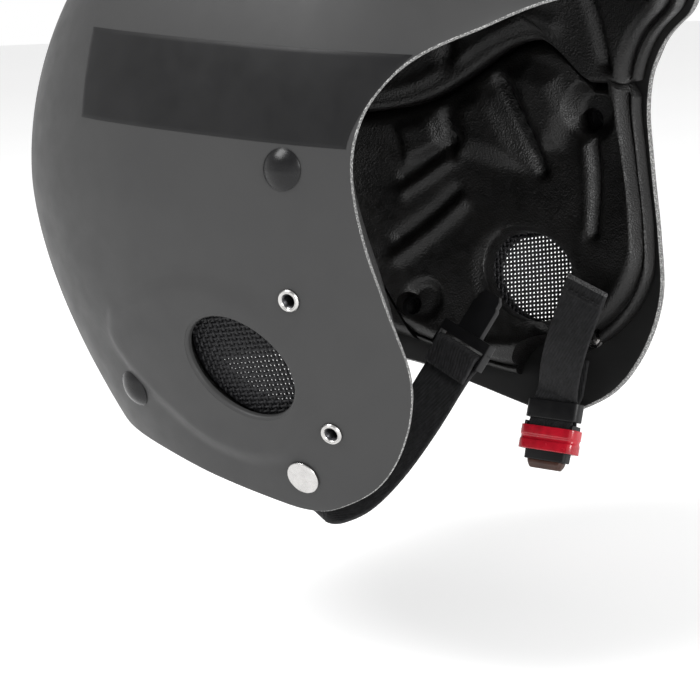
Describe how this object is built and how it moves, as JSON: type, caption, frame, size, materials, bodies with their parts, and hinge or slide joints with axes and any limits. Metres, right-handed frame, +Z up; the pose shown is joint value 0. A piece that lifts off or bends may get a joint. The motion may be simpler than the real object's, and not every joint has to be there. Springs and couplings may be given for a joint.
{
  "type": "open-face water helmet",
  "caption": "Moulded open-face water sports helmet with ear-covering cheeks, foam liner, ear screens, riveted chin strap and sprung release buckle.",
  "frame": {"origin": "middle of the widest ring of the shell, on the plane of symmetry", "axes": "+Z up to the crown, -Y towards the face opening, +X to the wearer's left"},
  "size_m": [0.2258, 0.2478, 0.2735],
  "materials": {
    "shell": "matt painted moulded shell, dark grey",
    "liner_foam": "black skinned EVA foam, moulded",
    "ear_screen": "black woven screen",
    "band_film": "satin black film",
    "rivet_black": "glossy black dome",
    "nickel": "bright nickel, lightly brushed",
    "steel": "plain steel",
    "webbing": "black ribbed webbing",
    "buckle_black": "black acetal",
    "release_red": "glossy dark red acetal",
    "nose_tint": "smoky brown polymer"
  },
  "bodies": {
    "helmet": {"outer_shell": "shell", "crown_liner": "liner_foam", "left_side_liner": "liner_foam", "right_side_liner": "liner_foam", "rear_liner": "liner_foam", "left_ear_screen": "ear_screen", "right_ear_screen": "ear_screen", "left_side_band": "band_film", "right_side_band": "band_film", "temple_rivets": "rivet_black", "rear_rivets": "rivet_black", "rivet_washers": "steel", "upper_inserts": "nickel", "lower_inserts": "nickel", "left_strap_rivet": "nickel", "right_strap_rivet": "nickel", "left_strap_spacer": "steel", "right_strap_spacer": "steel", "left_strap_washer": "steel", "right_strap_washer": "steel"},
    "left_strap_body": {"left_strap": "webbing", "strap_keeper": "buckle_black"},
    "buckle_body": {"buckle_bar": "steel", "buckle_housing": "buckle_black", "buckle_nose": "nose_tint", "release_spring": "steel"},
    "collar_body": {"release_collar": "release_red"},
    "right_strap_body": {"right_strap": "webbing"},
    "tongue_body": {"buckle_tongue": "buckle_black"}
  },
  "joints": [
    {"name": "left_strap_swing", "type": "hinge", "parent": "helmet", "child": "left_strap_body", "pos_m": [0.09023, -0.017, -0.0995], "axis": [0.9416, -0.0555, -0.3322], "range_deg": [-20, 20]},
    {"name": "right_strap_swing", "type": "hinge", "parent": "helmet", "child": "right_strap_body", "pos_m": [-0.09023, -0.017, -0.0995], "axis": [-0.9416, -0.0555, -0.3322], "range_deg": [-20, 20]},
    {"name": "buckle_tilt", "type": "hinge", "parent": "left_strap_body", "child": "buckle_body", "pos_m": [0.07625, -0.02018, -0.11692], "axis": [0.0588, 0.9983, 0], "range_deg": [-12, 12]},
    {"name": "collar_release", "type": "slide", "parent": "buckle_body", "child": "collar_body", "axis": [-0.3316, 0.0195, -0.9432], "range_m": [0, 0.0025], "stiffness_N_per_m": 300},
    {"name": "tongue_tilt", "type": "hinge", "parent": "right_strap_body", "child": "tongue_body", "pos_m": [-0.03645, -0.04752, -0.06228], "axis": [0.2399, 0.92, 0.3098], "range_deg": [-40, 40]}
  ]
}
